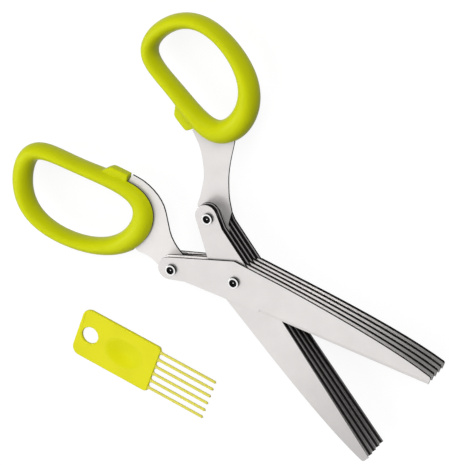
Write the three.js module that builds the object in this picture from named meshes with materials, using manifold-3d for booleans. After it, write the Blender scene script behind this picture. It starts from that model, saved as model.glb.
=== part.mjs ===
// Herb scissors: two stacks of five blades on one pivot, two finger loops and a cleaning comb.
// Millimetres, +Z up. Each half is drawn as it lies when the scissors are closed: the pivot at the
// origin, the tip towards +X, the spine towards +Y and the shearing faces of the blades down.
// Both halves are then opened by the same angle, and the thumb half is turned over.

import * as THREE from 'three';
import { ParametricGeometry } from 'three/addons/geometries/ParametricGeometry.js';
import { mergeVertices } from 'three/addons/utils/BufferGeometryUtils.js';
import Module from 'manifold-3d';

const wasm = await Module();
wasm.setup();

const degrees = THREE.MathUtils.degToRad;
const full_turn = 2 * Math.PI;

// Angle between the two halves as they lie
const opening_angle = degrees(28.8);

// Blade stacks
const blade_count = 5;
const blade_thickness = 1;
const blade_pitch = 3.2;
const shear_gap = 0.05;

// In front of a crease the blades of a stack fan out, by this much more each at the tip
const fan_start = 20;
const tip_spread = 1;

// Front of a blade
const tip_reach = 89.7;
const tip_width = 3.4;
const tip_rounding = 0.9;
const edge_drop = 8.4;
const spine_height = 8.6;
const spine_bend_setback = 3;
const spine_belly_shares = [0.72, 0.99];
const heel_setback = 20;

// Ground bevel of the cutting edge
const bevel_start = 14;
const bevel_width = 1.4;
const edge_land = 0.3;

// Tang behind the pivot, with the rear rivet
const rear_rivet_setback = 27;
const rear_rivet_drop = 8.1;
const tang_lobe_setback = 28.3;
const tang_lobe_radius = 4.8;

// Below the middle blade the tangs are slimmer along the spine, by a step for each blade
const slim_bend_step = 3.5;
const slim_lobe_radius = 3.8;
const slim_lobe_drop = 0.8;

// Rivets, spacers and washers
const rivet_head_radius = 2.5;
const rivet_head_height = 1.2;
const rivet_rim_height = 0.35;
const rear_shaft_radius = 1.5;
const pivot_shaft_radius = 2;
const tail_radius = 2.5;
const tail_depth = 0.6;
const bore_clearance = 0.06;
const spacer_radius = 3.6;
const washer_radius = 5.5;

// Stop tabs, which meet on one line when the scissors are closed
const closing_line = 20.7;
const stop_gap = 3.4;
const tab_length = 11.8;
const tab_depth = 7;
const tab_height = 4.8;
const tab_slope_depth = 4;
const tab_rounding = 0.8;

// Loops: the middle line of the grip is an oval, flatter on the side of the tab
const finger = {
  name: 'finger',
  turned_over: false,
  loop_setback: 77.6,
  loop_rise: -2,
  loop_half_length: 29.3,
  loop_half_width: 17.7,
  loop_tilt: degrees(3.7),
  nose_share: 0.05,
  flat_share: 0.16,
  tail_share: -0.01,
  corner_share: 0.06,
  grip_half_width: 3.7,
  grip_end_gain: 0.9,
  grip_shank_gain: 0.5,
  tab_setback: 59.5,
  tab_front_slope: 0.3,
  tab_rear_slope: 3.8,
  tab_face: closing_line - stop_gap / 2,
  shank_start: degrees(50),
  shank_end: degrees(-30),
  // Edges of the shank, as shares of the loop's setback and of its half length
  inner_edge_shares: [
    [0.341, -0.1], [0.393, -0.023], [0.443, 0.102], [0.49, 0.305], [0.531, 0.46],
    [0.59, 0.577], [0.669, 0.655], [0.747, 0.672],
  ],
  outer_edge_shares: [[0.584, -0.377], [0.509, -0.374], [0.449, -0.427], [0.39, -0.455], [0.345, -0.437]],
};
const thumb = {
  name: 'thumb',
  turned_over: true,
  loop_setback: 74.4,
  loop_rise: -43,
  loop_half_length: 24.4,
  loop_half_width: 17,
  loop_tilt: degrees(-1.6),
  nose_share: 0.03,
  flat_share: 0.13,
  tail_share: 0,
  corner_share: 0.07,
  grip_half_width: 3.6,
  grip_end_gain: 0.6,
  grip_shank_gain: 0.8,
  tab_setback: 59.5,
  tab_front_slope: 1.6,
  tab_rear_slope: 3,
  tab_face: -closing_line - stop_gap / 2,
  shank_start: degrees(52),
  shank_end: degrees(6),
  inner_edge_shares: [
    [0.395, -0.113], [0.453, -0.17], [0.474, -0.266], [0.508, -0.424], [0.564, -0.641],
    [0.647, -0.824], [0.705, -0.918], [0.793, -0.993],
  ],
  outer_edge_shares: [
    [0.599, -1.484], [0.539, -1.227], [0.481, -1.014], [0.417, -0.836], [0.372, -0.729],
    [0.312, -0.623],
  ],
};
const grip_half_height = 5.4;
const shank_sink = 0.4;
const moulding_gap = 0.3;

// Cleaning comb, lying beside the scissors
const comb_length = 38.4;
const comb_thickness = 1.6;
const comb_rear_rounding = 4;
const comb_front_rounding = 1.6;
const hang_hole_radius = 3.8;
const hang_hole_inset = 6.2;
const thumb_rest_length = 20.5;
const thumb_rest_width = 14.5;
const thumb_rest_depth = 0.7;
const thumb_rest_lead = 4;
const tooth_count = 6;
const tooth_pitch = 3.65;
const tooth_margin = 2.375;
const comb_width = (tooth_count - 1) * tooth_pitch + 2 * tooth_margin;
const tooth_length = 27.7;
const tooth_root_width = 1.4;
const tooth_tip_width = 0.9;
const tooth_thickness = 1.2;
const tooth_sink = 1;
const comb_x = -26.4;
const comb_y = -73.3;
const comb_turn = degrees(13.5);

// Fineness of the facets, and how far a cut runs past what it cuts
const round_facets = 24;
const quarter_facets = 6;
const curve_steps = 10;
const grip_steps = 64;
const grip_facets = 16;
const overrun = 1;

const middle_number = (blade_count + 1) / 2;
const stack_half_height = (middle_number - 1) * blade_pitch + shear_gap / 2 + blade_thickness;
const spacer_height = blade_pitch - blade_thickness;
const washer_height = blade_pitch - 2 * blade_thickness - 2 * shear_gap;
const rear_grip = (blade_count - 1) * blade_pitch + blade_thickness;
const pivot_grip = 2 * stack_half_height;

const blade_steel = () => new THREE.MeshStandardMaterial({ color: 0xdcdad6, metalness: 0.9, roughness: 0.35 });
const rivet_steel = () => new THREE.MeshStandardMaterial({ color: 0xc9cacb, metalness: 1, roughness: 0.15 });
const loop_plastic = () => new THREE.MeshStandardMaterial({ color: 0xb9cf12, metalness: 0, roughness: 0.3 });
const comb_plastic = () => new THREE.MeshStandardMaterial({ color: 0xdfe02a, metalness: 0, roughness: 0.4 });

// A closed solid from a geometry, without the triangles that have shrunk to a line
function solidOf(geometry) {
  const bare = geometry.clone();
  bare.deleteAttribute('normal');
  bare.deleteAttribute('uv');
  const merged = mergeVertices(bare);
  const triangles = [];
  for (let i = 0; i < merged.index.count; i += 3) {
    const [a, b, c] = [0, 1, 2].map((step) => merged.index.getX(i + step));
    if (a !== b && b !== c && c !== a) triangles.push(a, b, c);
  }
  return new wasm.Manifold(new wasm.Mesh({
    numProp: 3,
    vertProperties: new Float32Array(merged.attributes.position.array),
    triVerts: new Uint32Array(triangles),
  }));
}

function geometryOf(solid) {
  const mesh = solid.getMesh();
  const geometry = new THREE.BufferGeometry();
  geometry.setAttribute('position', new THREE.BufferAttribute(new Float32Array(mesh.vertProperties), 3));
  geometry.setIndex(new THREE.BufferAttribute(new Uint32Array(mesh.triVerts), 1));
  geometry.computeVertexNormals();
  return geometry;
}

function circle(x, y, radius) {
  const points = [];
  for (let i = 0; i < round_facets; i += 1) {
    const angle = (full_turn * i) / round_facets;
    points.push(new THREE.Vector2(x + radius * Math.cos(angle), y + radius * Math.sin(angle)));
  }
  return points;
}

function plate(outline, holes, depth) {
  const shape = new THREE.Shape(outline);
  for (const hole of holes) shape.holes.push(new THREE.Path(hole));
  return new THREE.ExtrudeGeometry(shape, { depth, bevelEnabled: false });
}

function lathed(profile) {
  return new THREE.LatheGeometry(profile, round_facets).rotateX(Math.PI / 2);
}

// The outline with every edge moved outwards by the same distance
function grown(outline, distance) {
  const outward = (from, to) => {
    const along = to.clone().sub(from).normalize();
    return new THREE.Vector2(along.y, -along.x);
  };
  return outline.map((point, i) => {
    const first = outward(outline[(i + outline.length - 1) % outline.length], point);
    const second = outward(point, outline[(i + 1) % outline.length]);
    const mitre = first.clone().add(second).divideScalar(1 + first.dot(second));
    return point.clone().addScaledVector(mitre, distance);
  });
}

function edgeY(x) {
  return -edge_drop * (1 - x / tip_reach);
}

// From the heel along the cutting edge, round the tip and back along the spine
function frontOutline(bend_x) {
  const spine_corner = new THREE.Vector2(tip_reach, tip_width);
  const [belly_x, belly_y] = spine_belly_shares;
  const belly = new THREE.Vector2(belly_x * tip_reach, belly_y * spine_height);
  const tip_top = new THREE.Vector2(tip_reach, tip_width - tip_rounding);
  const spine_front = belly.clone().sub(spine_corner).setLength(tip_rounding).add(spine_corner);
  const spine_bend = new THREE.Vector2(bend_x, spine_height);
  const corner = new THREE.QuadraticBezierCurve(tip_top, spine_corner, spine_front);
  const spine = new THREE.QuadraticBezierCurve(spine_front, belly, spine_bend);
  return [
    new THREE.Vector2(-heel_setback, edgeY(-heel_setback)),
    new THREE.Vector2(tip_reach, 0),
    ...corner.getPoints(quarter_facets),
    ...spine.getPoints(curve_steps).slice(1),
  ];
}

// Angle between the line to a point outside the lobe and the spoke to its tangent
function tangentAngle(radius, reach) {
  return Math.acos(radius / reach);
}

// Outline of a blade whose tang ends in a rounded lobe round the rear rivet
function plainOutline(number) {
  const slim_steps = Math.max(0, number - middle_number);
  const radius = slim_steps > 0 ? slim_lobe_radius : tang_lobe_radius;
  const drop = slim_steps > 0 ? slim_lobe_drop : 0;
  const front = frontOutline(slim_steps * slim_bend_step - spine_bend_setback);
  const lobe = new THREE.Vector2(-tang_lobe_setback, -rear_rivet_drop - drop);
  const to_bend = front[front.length - 1].clone().sub(lobe);
  const to_heel = front[0].clone().sub(lobe);
  const from = to_bend.angle() + tangentAngle(radius, to_bend.length());
  const to = to_heel.angle() - tangentAngle(radius, to_heel.length());
  const round = [];
  for (let i = 0; i <= curve_steps; i += 1) {
    const angle = from + ((to - from) * i) / curve_steps;
    const spoke = new THREE.Vector2(Math.cos(angle), Math.sin(angle));
    round.push(lobe.clone().addScaledVector(spoke, radius));
  }
  return [...front, ...round];
}

// Point on the middle line of a loop's grip, moved outwards across the grip
function gripPoint(half, angle, outwards) {
  const x = Math.cos(angle) + half.nose_share * Math.cos(2 * angle) + half.tail_share * Math.cos(3 * angle);
  const y = Math.sin(angle) + half.flat_share * Math.cos(2 * angle) + half.corner_share * Math.sin(3 * angle);
  const slope_x = -Math.sin(angle) - 2 * half.nose_share * Math.sin(2 * angle)
    - 3 * half.tail_share * Math.sin(3 * angle);
  const slope_y = Math.cos(angle) - 2 * half.flat_share * Math.sin(2 * angle)
    + 3 * half.corner_share * Math.cos(3 * angle);
  const outward = new THREE.Vector2(slope_y * half.loop_half_width, -slope_x * half.loop_half_length);
  return new THREE.Vector2(x * half.loop_half_length, y * half.loop_half_width)
    .add(outward.setLength(outwards))
    .rotateAround(new THREE.Vector2(), half.loop_tilt)
    .add(new THREE.Vector2(-half.loop_setback, half.loop_rise));
}

function gripHalfWidth(half, angle) {
  return half.grip_half_width + half.grip_end_gain * Math.cos(2 * angle)
    + half.grip_shank_gain * Math.cos(angle);
}

function shankEdge(half, shares) {
  const points = shares.map(([behind, beside]) => (
    new THREE.Vector2(-behind * half.loop_setback, beside * half.loop_half_length)
  ));
  return new THREE.SplineCurve(points).getPoints(2 * points.length);
}

// Outline of the middle blade, whose tang runs on as the shank and ends inside the grip
function shankOutline(half) {
  const buried = [];
  for (let i = 0; i <= curve_steps; i += 1) {
    const angle = half.shank_start + ((half.shank_end - half.shank_start) * i) / curve_steps;
    buried.push(gripPoint(half, angle, shank_sink));
  }
  return [
    ...frontOutline(-spine_bend_setback),
    ...shankEdge(half, half.inner_edge_shares),
    ...buried,
    ...shankEdge(half, half.outer_edge_shares),
  ];
}

// The wedge that is ground off the upper face along the cutting edge
function bevelCutter() {
  const wedge = [
    new THREE.Vector2(-overrun, edge_land),
    new THREE.Vector2(0, edge_land),
    new THREE.Vector2(bevel_width, blade_thickness),
    new THREE.Vector2(bevel_width, blade_thickness + overrun),
    new THREE.Vector2(-overrun, blade_thickness + overrun),
  ];
  const along = new THREE.Vector3(tip_reach, edge_drop, 0).normalize();
  const inward = new THREE.Vector3(-along.y, along.x, 0);
  const placed = new THREE.Matrix4().makeBasis(inward, new THREE.Vector3(0, 0, 1), along);
  placed.setPosition(bevel_start, edgeY(bevel_start), 0);
  return solidOf(plate(wedge, [], tip_reach - bevel_start + overrun).applyMatrix4(placed));
}

// The countersink for a rivet's flush tail, in the face of a half's last blade that lies lowest
function tailCutter(half, x, y, shaft_radius) {
  const rim = tail_radius + bore_clearance;
  const cutter = lathed([
    new THREE.Vector2(0, -overrun),
    new THREE.Vector2(rim, -overrun),
    new THREE.Vector2(rim, 0),
    new THREE.Vector2(shaft_radius + bore_clearance, tail_depth),
    new THREE.Vector2(0, tail_depth),
  ]);
  if (half.turned_over) cutter.rotateX(Math.PI).translate(0, 0, blade_thickness);
  return solidOf(cutter.translate(x, y, 0));
}

// The blade with its front bent up or down at the crease, further for a blade further out
function fanned(blade, level) {
  const rear = blade.trimByPlane([-1, 0, 0], -fan_start);
  const front = blade.trimByPlane([1, 0, 0], fan_start);
  const slope = (level * tip_spread) / (tip_reach - fan_start);
  const bend = new THREE.Matrix4().makeShear(0, slope, 0, 0, 0, 0).setPosition(0, 0, -slope * fan_start);
  return rear.add(front.transform(bend.elements));
}

function bladeGeometry(outline, cutters, level) {
  const holes = [
    circle(0, 0, pivot_shaft_radius + bore_clearance),
    circle(-rear_rivet_setback, -rear_rivet_drop, rear_shaft_radius + bore_clearance),
  ];
  let blade = solidOf(plate(outline, holes, blade_thickness)).subtract(bevelCutter());
  for (const cutter of cutters) blade = blade.subtract(cutter);
  return geometryOf(level === 0 ? blade : fanned(blade, level));
}

// A rivet standing on its flush tail, with a domed head above the stack that it holds
function rivetGeometry(shaft_radius, grip) {
  const profile = [
    new THREE.Vector2(0, 0),
    new THREE.Vector2(tail_radius, 0),
    new THREE.Vector2(shaft_radius, tail_depth),
    new THREE.Vector2(shaft_radius, grip),
    new THREE.Vector2(rivet_head_radius, grip),
  ];
  const rim_z = grip + rivet_rim_height;
  const dome_height = rivet_head_height - rivet_rim_height;
  for (let i = 0; i < quarter_facets; i += 1) {
    const angle = (full_turn / 4) * (i / quarter_facets);
    const radius = rivet_head_radius * Math.cos(angle);
    profile.push(new THREE.Vector2(radius, rim_z + dome_height * Math.sin(angle)));
  }
  profile.push(new THREE.Vector2(0, rim_z + dome_height));
  return geometryOf(solidOf(lathed(profile)));
}

function ringGeometry(radius, bore_radius, height) {
  return plate(circle(0, 0, radius), [circle(0, 0, bore_radius)], height);
}

// The tab that stops the halves when they close, rooted in the side of the grip
function tabGeometry(half) {
  const front = -half.tab_setback;
  const rear = front - tab_length;
  const face = half.tab_face;
  const shape = new THREE.Shape([
    new THREE.Vector2(rear, face - tab_depth),
    new THREE.Vector2(front, face - tab_depth),
    new THREE.Vector2(front, face - tab_slope_depth),
    new THREE.Vector2(front - half.tab_front_slope, face),
    new THREE.Vector2(rear + half.tab_rear_slope, face),
    new THREE.Vector2(rear, face - tab_slope_depth),
  ]);
  return new THREE.ExtrudeGeometry(shape, {
    depth: tab_height - 2 * tab_rounding,
    bevelThickness: tab_rounding,
    bevelSize: tab_rounding,
    bevelOffset: -tab_rounding,
    bevelSegments: quarter_facets / 2,
  }).translate(0, 0, tab_rounding - tab_height / 2);
}

// The moulded loop: grip and stop tab in one, with the slot that holds the shank
function loopGeometry(half, shank_outline) {
  const grip = new ParametricGeometry((u, v, target) => {
    const angle = full_turn * u;
    const around = full_turn * v;
    const point = gripPoint(half, angle, gripHalfWidth(half, angle) * Math.cos(around));
    target.set(point.x, point.y, grip_half_height * Math.sin(around));
  }, grip_steps, grip_facets);
  const slot_height = blade_thickness + 2 * moulding_gap;
  const slot = plate(grown(shank_outline, moulding_gap), [], slot_height);
  slot.translate(0, 0, shear_gap / 2 - moulding_gap);
  return geometryOf(solidOf(grip).add(solidOf(tabGeometry(half))).subtract(solidOf(slot)));
}

function combBody() {
  const rear = -comb_length / 2;
  const front = comb_length / 2;
  const side = comb_width / 2;
  const quarter = full_turn / 4;
  const shape = new THREE.Shape();
  shape.absarc(rear + comb_rear_rounding, comb_rear_rounding - side, comb_rear_rounding, 2 * quarter, 3 * quarter);
  shape.absarc(front - comb_front_rounding, comb_front_rounding - side, comb_front_rounding, 3 * quarter, 4 * quarter);
  shape.absarc(front - comb_front_rounding, side - comb_front_rounding, comb_front_rounding, 0, quarter);
  shape.absarc(rear + comb_rear_rounding, side - comb_rear_rounding, comb_rear_rounding, quarter, 2 * quarter);
  const hole_x = rear + hang_hole_inset;
  shape.holes.push(new THREE.Path(circle(hole_x, 0, hang_hole_radius)));
  return solidOf(new THREE.ExtrudeGeometry(shape, {
    depth: comb_thickness,
    bevelEnabled: false,
    curveSegments: quarter_facets,
  }));
}

function combTooth(y) {
  const root = comb_length / 2 - tooth_sink;
  const tip = comb_length / 2 + tooth_length - tooth_tip_width / 2;
  const shape = new THREE.Shape();
  shape.moveTo(root, y - tooth_root_width / 2);
  shape.absarc(tip, y, tooth_tip_width / 2, -full_turn / 4, full_turn / 4);
  shape.lineTo(root, y + tooth_root_width / 2);
  return solidOf(new THREE.ExtrudeGeometry(shape, {
    depth: tooth_thickness,
    bevelEnabled: false,
    curveSegments: quarter_facets,
  }).translate(0, 0, (comb_thickness - tooth_thickness) / 2));
}

// The comb: a flat handle with a hang hole and a shallow thumb rest, and a row of slim teeth
function combGeometry() {
  const rest = new THREE.SphereGeometry(1, round_facets, round_facets);
  rest.scale(thumb_rest_length / 2, thumb_rest_width / 2, thumb_rest_depth);
  rest.translate(thumb_rest_lead, 0, comb_thickness);
  let comb = combBody().subtract(solidOf(rest));
  for (let i = 0; i < tooth_count; i += 1) {
    comb = comb.add(combTooth((i - (tooth_count - 1) / 2) * tooth_pitch));
  }
  return geometryOf(comb);
}

function named(name, geometry, material, x, y, z) {
  const mesh = new THREE.Mesh(geometry, material);
  mesh.name = name;
  mesh.position.set(x, y, z);
  return mesh;
}

// Levels above the middle blade in the half's own frame, with blade 1 lying highest in the end
function bladeLevel(half, number) {
  return half.turned_over ? number - middle_number : middle_number - number;
}

// Height of a blade's shearing face in its half's own frame
function bladeZ(half, number) {
  return bladeLevel(half, number) * blade_pitch + shear_gap / 2;
}

function addBlades(group, half) {
  const shank_outline = shankOutline(half);
  for (let number = 1; number <= blade_count; number += 1) {
    const cutters = [];
    if (number === blade_count) {
      cutters.push(tailCutter(half, -rear_rivet_setback, -rear_rivet_drop, rear_shaft_radius));
      if (half.turned_over) cutters.push(tailCutter(half, 0, 0, pivot_shaft_radius));
    }
    const outline = number === middle_number ? shank_outline : plainOutline(number);
    const blade = bladeGeometry(outline, cutters, bladeLevel(half, number));
    group.add(named(`${half.name}_blade_${number}`, blade, blade_steel(), 0, 0, bladeZ(half, number)));
  }
  group.add(named(`${half.name}_loop_handle`, loopGeometry(half, shank_outline), loop_plastic(), 0, 0, 0));
}

function addRearRivet(group, half) {
  const tail_z = bladeZ(half, blade_count) + (half.turned_over ? blade_thickness : 0);
  const geometry = rivetGeometry(rear_shaft_radius, rear_grip);
  const rivet = named(
    `${half.name}_rear_rivet`, geometry, rivet_steel(), -rear_rivet_setback, -rear_rivet_drop, tail_z,
  );
  rivet.rotation.x = half.turned_over ? Math.PI : 0;
  group.add(rivet);
  for (let number = 1; number < blade_count; number += 1) {
    const ring = ringGeometry(spacer_radius, rear_shaft_radius + bore_clearance, spacer_height);
    const z = blade_thickness + Math.min(bladeZ(half, number), bladeZ(half, number + 1));
    group.add(named(
      `${half.name}_spacer_${number}`, ring, rivet_steel(), -rear_rivet_setback, -rear_rivet_drop, z,
    ));
  }
}

// The pivot's rivet and washers turn with the finger half
function addPivot(group) {
  group.add(named(
    'pivot_rivet', rivetGeometry(pivot_shaft_radius, pivot_grip), rivet_steel(), 0, 0, -stack_half_height,
  ));
  for (let number = 1; number < blade_count; number += 1) {
    const ring = ringGeometry(washer_radius, pivot_shaft_radius + bore_clearance, washer_height);
    const z = bladeZ(finger, number + 1) + blade_thickness;
    group.add(named(`pivot_washer_${number}`, ring, rivet_steel(), 0, 0, z));
  }
}

function halfGroup(half) {
  const group = new THREE.Group();
  addBlades(group, half);
  addRearRivet(group, half);
  group.rotation.z = opening_angle / 2;
  group.rotation.x = half.turned_over ? Math.PI : 0;
  return group;
}

const finger_group = halfGroup(finger);
addPivot(finger_group);

// The comb lies on the surface that the tip of the lowest blade touches
const floor_z = -stack_half_height - (middle_number - 1) * tip_spread;
const comb = named('cleaning_comb', combGeometry(), comb_plastic(), comb_x, comb_y, floor_z);
comb.rotation.z = comb_turn;

const placed = new THREE.Group();
placed.add(finger_group, halfGroup(thumb), comb);

// The origin lies under the middle of the whole set, on the surface that it rests on
const bounds = new THREE.Box3().setFromObject(placed, true);
const middle = bounds.getCenter(new THREE.Vector3());
placed.position.set(-middle.x, -middle.y, -bounds.min.z);

const herb_scissors = new THREE.Group();
herb_scissors.name = 'herb_scissors';
herb_scissors.add(placed);

export default herb_scissors;
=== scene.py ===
"""Looks of the herb scissors and their cleaning comb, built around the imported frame.

Sizes are in millimetres and become metres through MM. A half's own frame has its origin at the
pivot in the middle of the blade stack, +X to the tip and +Y to the spine; the thumb half is turned
over. Where a pair of numbers fades one thing into another, the fade starts at the first number and
ends at the second.
"""

import math

import bmesh
import bpy
from mathutils import Matrix, Vector


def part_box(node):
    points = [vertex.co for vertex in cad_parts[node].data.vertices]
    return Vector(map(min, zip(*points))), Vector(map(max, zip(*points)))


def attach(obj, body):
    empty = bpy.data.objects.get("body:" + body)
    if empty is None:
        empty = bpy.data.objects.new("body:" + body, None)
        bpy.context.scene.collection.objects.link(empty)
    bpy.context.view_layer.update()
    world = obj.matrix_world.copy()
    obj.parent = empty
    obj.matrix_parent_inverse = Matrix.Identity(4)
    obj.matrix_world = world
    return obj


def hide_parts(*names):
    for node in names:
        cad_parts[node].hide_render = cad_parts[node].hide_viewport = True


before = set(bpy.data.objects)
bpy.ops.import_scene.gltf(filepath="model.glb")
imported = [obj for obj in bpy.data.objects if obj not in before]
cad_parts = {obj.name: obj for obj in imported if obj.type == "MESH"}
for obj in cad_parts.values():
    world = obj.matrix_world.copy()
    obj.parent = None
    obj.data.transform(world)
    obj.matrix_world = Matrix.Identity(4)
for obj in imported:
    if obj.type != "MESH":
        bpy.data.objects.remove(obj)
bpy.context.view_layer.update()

MM = 0.001
TAU = 2 * math.pi
QUARTER_TURN = TAU / 4

# The photograph's frame, and the camera that was fitted to it. The camera's place is measured from
# the pivot's axis on the top blade
PHOTO_LONG_SIDE = 465
FOCAL_PIXELS = 2293.4
SENSOR_WIDTH = 36
CAMERA_FROM_PIVOT = Vector((102.85, 480.73, 791.62))
CAMERA_AIM = Vector((-0.12739, -0.50269, -0.85503))
CAMERA_UP = Vector((-0.63424, 0.70406, -0.31944))
CAMERA_NEAR = 100
CAMERA_FAR = 10000

# Blades, as in the frame
HALF_OPENING = math.radians(14.4)
BLADE_COUNT = 5
SHANK_NUMBER = 3
BLADE_PITCH = 3.2
TIP_REACH = 89.7
EDGE_DROP = 8.4
SPINE_HEIGHT = 8.6
SPINE_FALL = 5.2
SPINE_START = 3
SPINE_BELLY_REACH = 64.6
HEEL_SETBACK = 20
HEEL_DROP = 10.3
TANG_SLOPE = 0.34
LOBE_START = 26.7
LOBE_SETBACK = 28.3
LOBE_DROP = 8.1
LOBE_RADIUS = 4.8
GRIND_START = 14
STACK_END_FADE = (-18.9, -17)

# Fine edges of the blades: their rounding, the painted shade band along the thumb half's lower
# cutting edges and the thin painted highlight in it, the painted shade line along the finger half's
# lower spines, the painted highlight growing dimmer towards the tip, and the small step where the
# grind starts
EDGE_ROUNDING = 0.12
SHADE_BAND_FADE = (1.52, 1.9)
THUMB_HIGHLIGHT_FADE = (0.35, 0.65)
FINGER_SHADE_LINE_FADE = (0.25, 0.55)
TIP_HIGHLIGHT_FADE_SHARE = 0.55
GRIND_END_FADE = (0.5, 0.7)
GRIND_LOW_FADE = (-5, -4)

# Rivets, spacers and washers
HEAD_HEIGHT = 1.2
HEAD_RADIUS = 2.35
HEAD_ROUNDING = 0.12
CUP_RADIUS = 1.6
CUP_DEPTH = 0.85
CUP_ROUNDING = 0.12
DOME_RADIUS = 0.6
DOME_RISE = 0.5
TAIL_RADIUS = 2.5
TAIL_DEPTH = 0.6
REAR_SHAFT_RADIUS = 1.5
PIVOT_SHAFT_RADIUS = 2
SPACER_RADIUS = 3.6
WASHER_RADIUS = 5.5
RING_CLEARANCE = 0.06
RING_ROUNDING = 0.15

# Moulded loops: the groove round the shank, the grip's section and the stop tabs, then each half's
# own oval, grip and tab
GROOVE_START = 59.5
GROOVE_RUN_IN = 0.4
GROOVE_END_RUN = 1
GROOVE_HALF_HEIGHT = 2.2
GROOVE_FLAT_SHARE = 0.7
GROOVE_RIM_SHARES = (1.02, 1.1)
GROOVE_DEPTH = 0.45
GRIP_HALF_HEIGHT = 5.4
TAB_LENGTH = 11.8
TAB_HALF_HEIGHT = 2.4
TAB_SLOPE_DEPTH = 4
TAB_SOFTNESS = 0.05
TAB_SQUARENESS = 8
TAB_JOIN_SHARPNESS = 20
TAB_FACING_SHARES = (0.5, 0.7)
TAB_SPOKE_SHARES = (0.1, 0.3)
LEAST_TAB_REACH = 0.5
LEAST_SPOKE_SHARE = 0.02
LOOPS = {
    "finger": {
        "setback": 77.6, "rise": -2, "half_length": 29.3, "half_width": 17.7, "tilt": 3.7,
        "nose_share": 0.05, "flat_share": 0.16, "tail_share": -0.01, "corner_share": 0.06,
        "grip_half_width": 3.7, "end_gain": 0.9, "shank_gain": 0.5,
        "tab_setback": 59.5, "tab_face": 19, "tab_front_slope": 0.3, "tab_rear_slope": 3.8,
        "groove_low": -12,
    },
    "thumb": {
        "setback": 74.4, "rise": -43, "half_length": 24.4, "half_width": 17, "tilt": -1.6,
        "nose_share": 0.03, "flat_share": 0.13, "tail_share": 0, "corner_share": 0.07,
        "grip_half_width": 3.6, "end_gain": 0.6, "shank_gain": 0.8,
        "tab_setback": 59.5, "tab_face": -22.4, "tab_front_slope": 1.6, "tab_rear_slope": 3,
        "groove_low": -38,
    },
}

# Cleaning comb, in its own frame: its middle at the origin, its teeth towards +X
COMB_FROM_PIVOT = (-26.4, -73.3)
COMB_TURN = math.radians(13.5)
COMB_LENGTH = 38.4
COMB_WIDTH = 23
COMB_THICKNESS = 1.6
COMB_REAR_ROUNDING = 4
COMB_FRONT_ROUNDING = 1.6
COMB_EDGE_ROUNDING = 0.55
HANG_HOLE_RADIUS = 3.8
HANG_HOLE_INSET = 6.2
THUMB_REST_LENGTH = 20.5
THUMB_REST_WIDTH = 14.5
THUMB_REST_DEPTH = 1
THUMB_REST_LEAD = 4
THUMB_REST_RINGS = 32
REST_OVERLAP = 0.01
# Where the thumb rest's painted shade fades out
REST_SHADE_SHARES = (0.5, 1)
TOOTH_COUNT = 6
TOOTH_PITCH = 3.65
TOOTH_LENGTH = 27.7
TOOTH_ROOT_RADIUS = 0.66
TOOTH_TIP_RADIUS = 0.34
TOOTH_HALF_HEIGHT = 0.5
TOOTH_SINK = 1
TOOTH_ROOT_CROWDING = 1.5

# Fineness of the meshes; the shares place the points of a rivet's dome
MERGE_DISTANCE = 0.001
GROWN_MERGE_DISTANCE = 0.002
COPLANAR_ANGLE = math.radians(0.5)
BLADE_SHARP_ANGLE = math.radians(30)
RIVET_SHARP_ANGLE = math.radians(35)
RING_SHARP_ANGLE = math.radians(40)
COMB_SHARP_ANGLE = math.radians(6)
BLADE_BEVEL_ANGLE = math.radians(40)
COMB_BEVEL_ANGLE = math.radians(50)
BEVEL_STEPS = 2
FLAT_NORMAL_SHARE = 0.99999
LATHE_STEPS = 72
BOWL_STEPS = 144
ROUNDING_STEPS = 5
CORNER_STEPS = 24
DOME_SHARES = (0.9, 0.7, 0.4, 0)
CUP_FLOOR_SHARE = 0.8
DOME_FOOT_SHARE = 1.2
LOOP_POINTS = 641
GRIP_POINTS = 145
RING_CORNER_STEPS = 4
TOOTH_POINTS = 81
TOOTH_SECTION_POINTS = 17

# Blade steel, by half and kind of blade: its tone, which differs between kinds as painted light and
# shade, and how far it darkens towards the tip as painted shade
TIP_SHADES = {
    ("finger", "top"): 0.04,
    ("finger", "shank"): 0.75,
    ("finger", "inner"): 0.75,
    ("thumb", "top"): 0.28,
    ("thumb", "shank"): 0.1,
    ("thumb", "inner"): 0.1,
}
STEEL_TONES_WITH_PAINTED_LIGHT = {
    ("finger", "top"): 0.87,
    ("finger", "shank"): 0.86,
    ("finger", "inner"): 0.9,
    ("thumb", "top"): 0.86,
    ("thumb", "shank"): 0.8,
    ("thumb", "inner"): 0.9,
}
# Painted light on the finger half's stacked blades and painted shade on the thumb half's
STACK_PAINTED_LIGHT_GAINS = {"finger": 0.42, "thumb": -0.65}
TIP_SHADE_FADE = (0.3 * TIP_REACH, 1.05 * TIP_REACH)
GRAIN_ALONG_SCALE = 0.35
GRAIN_ACROSS_SCALE = 9
GRAIN_DETAIL = 3
GRAIN_TONE_SHARE = 0.08
CLOUD_SCALE = 0.12
CLOUD_DETAIL = 2
CLOUD_TONE_SHARE = 0.12
# Upright cut faces of the blades are painted dark as shade
BLADE_SHADED_SIDE_SHARES = (0.6, 0.9)
BLADE_ROUGHNESS = 0.26
BLADE_ROUGHNESS_SPREAD = 0.12
BLADE_GRAIN_STRENGTH = 0.06
BLADE_GRAIN_DEPTH = 0.02
LONE_METAL_SHARES = {"top": 0.9, "shank": 0.5, "inner": 0.9}
STACK_METAL_SHARE = 0.15

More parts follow.
